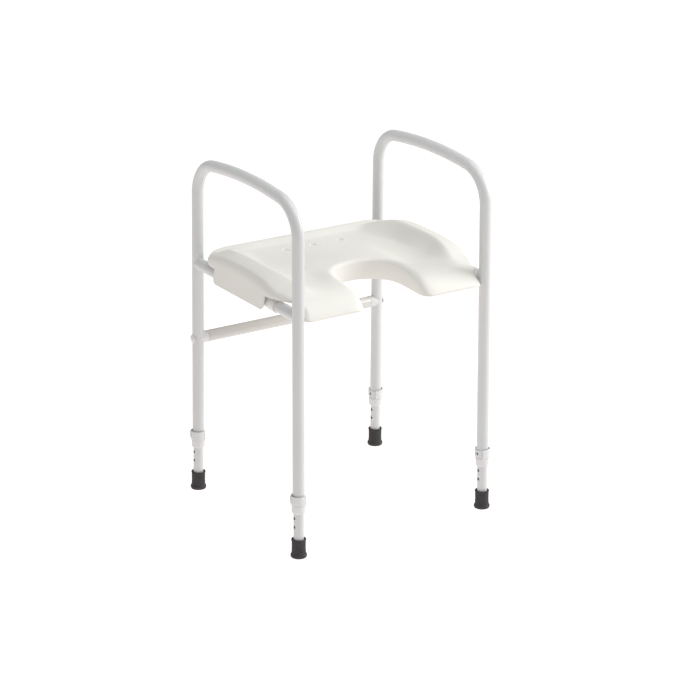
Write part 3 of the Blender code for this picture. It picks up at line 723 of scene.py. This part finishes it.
def rim_path():
    """Right half of the rim in plan, from the front to the back centre."""
    ys = [SEAT_FRONT_Y + d for d in FRONT_ROWS]
    ys += [-181.0 + 5.2 * k for k in range(16)]
    low, high = SKIRT_Y
    turns = [math.radians(18 * k) for k in range(6)]
    edge = [SKIRT_CORNER_R * (1.0 - math.cos(turn)) for turn in turns]
    ys += [low - 0.4] + [low + d for d in edge]
    ys += [-80.0 + 170.0 * k / 18.0 for k in range(19)]
    ys += [high - d for d in edge[::-1]] + [high + 0.4, high + 5.0]
    path = [(rim_half_width(y), y) for y in ys]
    centre_x = SEAT_HALF_X - SKIRT_OUT - SEAT_CORNER_R
    centre_y = SEAT_BACK_Y - SEAT_CORNER_R
    for k in range(1, 23):
        dx, dy = polar(SEAT_CORNER_R, 90.0 * k / 22.0)
        path.append((centre_x + dx, centre_y + dy))
    path += [(centre_x * (1.0 - k / 16.0), SEAT_BACK_Y) for k in range(1, 17)]
    return path


def cut_path():
    """Right half of the cut-out's edge in plan, finely divided."""
    path = []
    power = 2.0 / CUT_POWER
    for k in range(200):
        y = SEAT_FRONT_Y + (CUT_CENTRE_Y - SEAT_FRONT_Y) * k / 200.0
        s = (y - SEAT_FRONT_Y) / (CUT_CENTRE_Y - SEAT_FRONT_Y)
        x = CUT_NECK_X + (CUT_MOUTH_X - CUT_NECK_X) * (1.0 - smooth(s / 0.25))
        path.append((x + (CUT_HALF_X - CUT_NECK_X) * smooth((s - 0.2) / 0.8), y))
    for k in range(301):
        angle = math.pi / 2.0 * k / 300.0
        x = CUT_HALF_X * max(math.cos(angle), 0.0) ** power
        path.append((x, CUT_CENTRE_Y + (CUT_BACK_Y - CUT_CENTRE_Y) * math.sin(angle) ** power))
    return path


def lengths(path):
    total = [0.0]
    for (ax, ay), (bx, by) in zip(path, path[1:]):
        total.append(total[-1] + math.hypot(bx - ax, by - ay))
    return total


def point_at(path, total, distance):
    for i in range(1, len(path)):
        if total[i] >= distance or i == len(path) - 1:
            t = (distance - total[i - 1]) / (total[i] - total[i - 1])
            (ax, ay), (bx, by) = path[i - 1], path[i]
            return ax + (bx - ax) * t, ay + (by - ay) * t


def cut_share(w, start_slope, spread=0.6):
    """Maps a share of the rim's length to a share of the cut-out's, so that
    rows run straight across the front and fan out round the back."""
    power = (start_slope - spread) / (1.0 - spread)
    return spread * w + (1.0 - spread) * (1.0 - (1.0 - w) ** power)


def corner_inset(distance, radius):
    """How far a rounded plan corner cuts in, at a distance from the front."""
    s = max(radius - distance, 0.0)
    return radius - math.sqrt(max(radius * radius - s * s, 0.0))


def inset(points, distance):
    """Move plan points to the left of their direction of travel."""
    moved = []
    for i, (x, y) in enumerate(points):
        ax, ay = points[max(i - 1, 0)]
        bx, by = points[min(i + 1, len(points) - 1)]
        length = math.hypot(bx - ax, by - ay)
        moved.append((x - (by - ay) / length * distance, y + (bx - ax) / length * distance))
    moved[-1] = (0.0, moved[-1][1])
    return moved


def row_distances(width):
    """Where the points of one row lie, from the cut-out to the rim."""
    scale = min(1.0, width / 125.0)
    near = [d * scale for d in CUT_EDGE]
    far = [width - d * scale for d in RIM_EDGE[::-1]]
    step = (far[0] - near[-1]) / (MIDDLE_COLUMNS + 1)
    return near + [near[-1] + step * k for k in range(1, MIDDLE_COLUMNS + 1)] + far


def row_ends(shrink):
    """Plan ends of each row, at the cut-out and at the rim, and the rim's
    lower edge there; shrink moves both ends into the seat."""
    rim = rim_path()
    rim_total = lengths(rim)
    cut = cut_path()
    cut_total = lengths(cut)
    ratio = rim_total[-1] / cut_total[-1]
    edges = [lower_edge(x, y) for x, y in rim]
    rim_points, cut_points = [], []
    for (x, y), w in zip(rim, rim_total):
        share = cut_share(w / rim_total[-1], ratio)
        cx, cy = point_at(cut, cut_total, share * cut_total[-1])
        rim_points.append((x - corner_inset(y - SEAT_FRONT_Y, FRONT_CORNER_R), y))
        cut_points.append((cx + corner_inset(cy - SEAT_FRONT_Y, MOUTH_R), cy))
    return zip(inset(cut_points, -shrink), inset(rim_points, shrink), edges)


def seat_rows(shrink, drop):
    """Half of one skin of the seat, front to back. Each row runs from the
    cut-out to the rim; its ends and the whole first row are lower edges."""
    result = []
    for (ax, ay), (bx, by), (out, low) in row_ends(shrink):
        width = math.hypot(bx - ax, by - ay)
        roll, wall = rim_roll(bx, by)
        edge = roll, max(wall, low + 3.0)
        strip = [(ax, ay, SEAT_BOTTOM_Z)]
        for d in row_distances(width):
            x = ax + (bx - ax) * d / width
            y = max(ay + (by - ay) * d / width, SEAT_FRONT_Y + shrink)
            z = max(skin_height(x, y, d, width - d, edge) - drop, SEAT_BOTTOM_Z + 1.0)
            strip.append((x, y, z))
        strip.append((bx + out, max(by, SEAT_FRONT_Y + shrink), low))
        result.append(strip)
    front = [(x, y, SEAT_BOTTOM_Z) for x, y, z in result[0]]
    return [front] + result


def whole_rows(half):
    """Both halves of a skin, one row after another from left to right."""
    mirrored = [[(-x, y, z) for x, y, z in row] for row in half]
    return mirrored + half[-2::-1]


def add_skin(bm, rows):
    """Add a grid of faces and return the vertices round its border."""
    grid = [[bm.verts.new(p) for p in row] for row in rows]
    for first, second in zip(grid, grid[1:]):
        for i in range(len(first) - 1):
            bm.faces.new((first[i], first[i + 1], second[i + 1], second[i]))
    border = grid[0] + [row[-1] for row in grid[1:-1]] + grid[-1][::-1]
    return border + [row[0] for row in grid[-2:0:-1]]


def build_seat():
    """Hollow moulding: an outer and an inner skin joined along the edges."""
    bm = bmesh.new()
    outer = add_skin(bm, whole_rows(seat_rows(0.0, 0.0)))
    inner = add_skin(bm, whole_rows(seat_rows(SEAT_WALL, SEAT_SKIN)))
    bridge(bm, outer, inner)
    seat = make_object("moulded_seat", bm)
    for k in (-1, 0, 1):
        place = Matrix.Translation((k * DRAIN_PITCH, DRAIN_Y, DRAIN_Z))
        upright = place @ Matrix.Rotation(math.pi / 2.0, 4, "Y")
        combine(seat, cross_holes("drain", DRAIN_R, (0.0,), upright), "DIFFERENCE")
    stand_in(seat, "seat")


def seat_underside(x, y):
    """Height just under the seat's inner skin, out at the rails."""
    rim = rim_half_width(y)
    height = skin_height(x, y, math.inf, rim - SEAT_WALL - abs(x), rim_roll(rim, y))
    return height - SEAT_SKIN - 3.0


def build_seat_clip(label, side, span):
    """Block under the seat with a hook that snaps round the rail."""
    lip_r = TUBE_R + HOOK_OUT
    near = math.degrees(math.acos(BLOCK_X[0] / lip_r))
    beyond = math.degrees(math.acos(BLOCK_X[-1] / lip_r))
    low, high = HOOK_ANGLES
    rings = []
    for y in span:
        ring = [polar(lip_r, low + (near - low) * k / 24.0) for k in range(25)]
        for dx in BLOCK_X:
            ring.append((dx, seat_underside(leg_x(RAIL_Z) + dx, y) - RAIL_Z))
        ring += [polar(lip_r, beyond + (high - beyond) * k / 16.0) for k in range(17)]
        ring += [polar(TUBE_R + 0.3, high + (low - high) * k / 40.0) for k in range(41)]
        rings.append([(side * (leg_x(RAIL_Z) + dx), y, RAIL_Z + dz) for dx, dz in ring])
    obj = make_object(label + "_rail_hook", loft(rings))
    soften(obj, 0.5)
    stand_in(obj, label + "_seat_clip")


# --------------------------------------------------------------- materials

class Nodes:
    """Builds one material's node tree; its patterns follow the object."""

    def __init__(self, name):
        self.material = bpy.data.materials.new(name)
        self.material.use_nodes = True
        self.tree = self.material.node_tree
        self.shader = self.tree.nodes["Principled BSDF"]
        self.place = self.tree.nodes.new("ShaderNodeTexCoord").outputs["Object"]

    def link(self, output, target):
        self.tree.links.new(output, target)

    def feed(self, output, name):
        """Feed one of the shader's own inputs."""
        self.link(output, self.shader.inputs[name])

    def noise(self, scale, detail=3.0):
        node = self.tree.nodes.new("ShaderNodeTexNoise")
        node.inputs["Scale"].default_value = scale
        node.inputs["Detail"].default_value = detail
        self.link(self.place, node.inputs["Vector"])
        return node.outputs["Fac"]

    def spread(self, value, low, high, start=0.3, stop=0.7):
        node = self.tree.nodes.new("ShaderNodeMapRange")
        node.inputs["From Min"].default_value = start
        node.inputs["From Max"].default_value = stop
        node.inputs["To Min"].default_value = low
        node.inputs["To Max"].default_value = high
        self.link(value, node.inputs["Value"])
        return node.outputs["Result"]

    def mix(self, share, first, second):
        """Blend two colours, each an (r, g, b) tuple or another node's output."""
        node = self.tree.nodes.new("ShaderNodeMix")
        node.data_type = "RGBA"
        self.link(share, node.inputs["Factor"])
        for value, socket in ((first, node.inputs[6]), (second, node.inputs[7])):
            if isinstance(value, tuple):
                socket.default_value = (*value, 1.0)
            else:
                self.link(value, socket)
        return node.outputs[2]

    def bump(self, height, strength, distance):
        node = self.tree.nodes.new("ShaderNodeBump")
        node.inputs["Strength"].default_value = strength
        node.inputs["Distance"].default_value = distance
        self.link(height, node.inputs["Height"])
        self.feed(node.outputs["Normal"], "Normal")

    def set(self, **values):
        for name, value in values.items():
            self.shader.inputs[name.replace("_", " ")].default_value = value


def scaled(rgb, factor):
    return tuple(c * factor for c in rgb)


def powder_coat(name, rgb):
    """Baked powder paint: fine orange peel and a soft gloss."""
    nodes = Nodes(name)
    cloud = nodes.spread(nodes.noise(9.0), 0.0, 1.0)
    nodes.feed(nodes.mix(cloud, scaled(rgb, 0.985), scaled(rgb, 1.01)), "Base Color")
    nodes.feed(nodes.spread(nodes.noise(60.0), 0.30, 0.38), "Roughness")
    nodes.bump(nodes.noise(900.0, 2.0), 0.12, 0.0002)
    nodes.set(Coat_Weight=0.15, Coat_Roughness=0.15)
    return nodes.material


def moulded_plastic(name, rgb, grain):
    """Injection-moulded plastic: faint flow clouds and a fine spark grain."""
    nodes = Nodes(name)
    cloud = nodes.spread(nodes.noise(7.0, 4.0), 0.0, 1.0)
    nodes.feed(nodes.mix(cloud, scaled(rgb, 0.98), scaled(rgb, 1.015)), "Base Color")
    nodes.feed(nodes.spread(nodes.noise(45.0), 0.38, 0.47), "Roughness")
    nodes.bump(nodes.noise(grain, 2.0), 0.15, 0.00015)
    return nodes.material


def moulded_rubber(name, rgb):
    """Matt black rubber with a bloom of dust towards the floor."""
    nodes = Nodes(name)
    split = nodes.tree.nodes.new("ShaderNodeSeparateXYZ")
    nodes.link(nodes.place, split.inputs["Vector"])
    dust = nodes.spread(split.outputs["Z"], 0.5, 0.0, 0.0, 0.012)
    speck = nodes.spread(nodes.noise(500.0, 4.0), 0.0, 1.0, 0.45, 0.75)
    tone = nodes.mix(speck, scaled(rgb, 0.9), scaled(rgb, 1.25))
    nodes.feed(nodes.mix(dust, tone, scaled(rgb, 1.9)), "Base Color")
    nodes.feed(nodes.spread(nodes.noise(120.0), 0.62, 0.8), "Roughness")
    nodes.bump(nodes.noise(700.0, 3.0), 0.2, 0.0002)
    return nodes.material


def zinc_plate(name, rgb):
    """Bright zinc-plated steel."""
    nodes = Nodes(name)
    cloud = nodes.spread(nodes.noise(300.0, 5.0), 0.0, 1.0)
    nodes.feed(nodes.mix(cloud, scaled(rgb, 0.85), scaled(rgb, 1.1)), "Base Color")
    nodes.feed(nodes.spread(nodes.noise(200.0), 0.25, 0.45), "Roughness")
    nodes.set(Metallic=1.0)
    return nodes.material


finishes = {
    "white_powder_coat": powder_coat("white_powder_coat", (0.665, 0.685, 0.682)),
    "grey_white_powder_coat": powder_coat("grey_white_powder_coat", (0.66, 0.652, 0.617)),
    "ivory_plastic": moulded_plastic("ivory_plastic", (0.82, 0.817, 0.765), 1500.0),
    "pale_plastic": moulded_plastic("pale_plastic", (0.75, 0.755, 0.76), 1800.0),
    "pale_cap": moulded_plastic("pale_cap", (0.76, 0.76, 0.76), 1800.0),
    "grey_rubber": moulded_rubber("grey_rubber", (0.035, 0.033, 0.034)),
    "zinc_steel": zinc_plate("zinc_steel", (0.55, 0.56, 0.58)),
}


# ------------------------------------------------------------ build it all

for side_word, side_sign in SIDES.items():
    build_side_tube(side_word, side_sign)
    build_seat_rail(side_word, side_sign)
    build_saddle(side_word, side_sign)
    build_bolt(side_word, side_sign)
    for end_word, end_sign in ENDS.items():
        leg_label = end_word + "_" + side_word
        pin_place = leg_place(side_sign, end_sign, PIN_Z)
        build_collar(leg_label, pin_place)
        build_clip(leg_label, pin_place)
        build_inner_leg(leg_label, pin_place)
        build_ferrule(leg_label, pin_place)
        build_seat_clip(leg_label, side_sign, SEAT_CLIP_Y[end_word])
build_cross_bar()
build_seat()
for node_name, node_object in frame["nodes"].items():
    node_object.data.materials.clear()
    node_object.data.materials.append(finishes[slot_of[node_name]])


# ------------------------------------------------------------------ studio

CAMERA_AZIMUTH = math.radians(-33.123)
CAMERA_ELEVATION = math.radians(20.371)
CAMERA_ROLL = math.radians(0.367)
CAMERA_DISTANCE = 5142.1
CAMERA_LENS = 124.93
CAMERA_AIM = (11.29, 356.01)    # aim point: along the image's right, and up


def build_camera():
    level = math.cos(CAMERA_ELEVATION)
    back = Vector((math.sin(CAMERA_AZIMUTH) * level, -math.cos(CAMERA_AZIMUTH) * level,
                   math.sin(CAMERA_ELEVATION)))
    right = Vector((math.cos(CAMERA_AZIMUTH), math.sin(CAMERA_AZIMUTH), 0.0))
    aim = right * CAMERA_AIM[0] + Vector((0.0, 0.0, CAMERA_AIM[1]))
    data = bpy.data.cameras.new("camera")
    data.lens = CAMERA_LENS
    data.sensor_width = 36.0
    data.clip_end = 100.0
    camera = bpy.data.objects.new("camera", data)
    place = Matrix((right, back.cross(right), back)).transposed().to_4x4()
    place = place @ Matrix.Rotation(CAMERA_ROLL, 4, "Z")
    place.translation = (aim + back * CAMERA_DISTANCE) * MM
    camera.matrix_world = place
    bpy.context.scene.collection.objects.link(camera)
    bpy.context.scene.camera = camera


def build_floor():
    """Pale floor that glows a little, so that it stays even and white."""
    bm = bmesh.new()
    bmesh.ops.create_grid(bm, x_segments=1, y_segments=1, size=20000.0)
    floor = make_object("floor", bm)
    nodes = Nodes("pale_floor")
    nodes.set(Base_Color=(0.25, 0.25, 0.25, 1.0), Roughness=0.9)
    nodes.set(Emission_Color=(1.0, 0.935, 0.93, 1.0), Emission_Strength=0.985)
    floor.data.materials.append(nodes.material)


def add_area_light(name, position, size, power):
    """Square softbox aimed at the middle of the object."""
    data = bpy.data.lights.new(name, "AREA")
    data.shape = "SQUARE"
    data.size = size
    data.energy = power
    lamp = bpy.data.objects.new(name, data)
    lamp.location = position
    aim = Vector((0.0, 0.0, 0.4)) - Vector(position)
    lamp.rotation_mode = "QUATERNION"
    lamp.rotation_quaternion = aim.to_track_quat("-Z", "Y")
    bpy.context.scene.collection.objects.link(lamp)


def build_lights():
    world = bpy.data.worlds.new("studio")
    world.use_nodes = True
    background = world.node_tree.nodes["Background"]
    background.inputs["Color"].default_value = (1.0, 0.99, 0.98, 1.0)
    background.inputs["Strength"].default_value = 0.38
    bpy.context.scene.world = world
    add_area_light("key", (3.2, -1.5, 2.2), 2.0, 95.0)
    add_area_light("overhead", (0.3, -0.3, 3.2), 3.0, 43.0)


bpy.context.scene.view_settings.view_transform = "Standard"
build_camera()
build_floor()
build_lights()
